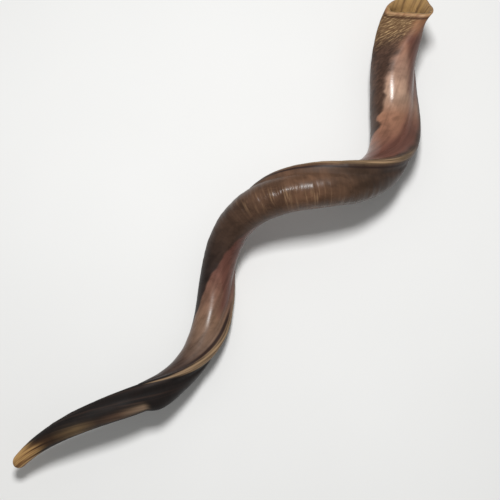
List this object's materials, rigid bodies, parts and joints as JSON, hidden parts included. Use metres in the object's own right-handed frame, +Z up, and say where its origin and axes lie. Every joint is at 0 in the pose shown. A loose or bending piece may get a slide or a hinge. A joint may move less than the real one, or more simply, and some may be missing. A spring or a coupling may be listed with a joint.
{
  "type": "kudu horn",
  "caption": "Polished animal horn in an open spiral, with a keel along one side, a hollow slanted mouth and a rounded amber tip, lying on a surface.",
  "frame": {"origin": "on the floor, under the middle of the horn's bounding box", "axes": "+X along the spiral's axis towards the mouth, +Z up, as the horn lies at rest"},
  "size_m": [0.7768, 0.1596, 0.1129],
  "materials": {
    "horn": "polished keratin, brown and near black with lighter streaks"
  },
  "bodies": {
    "root": {"horn": "horn"}
  },
  "joints": []
}
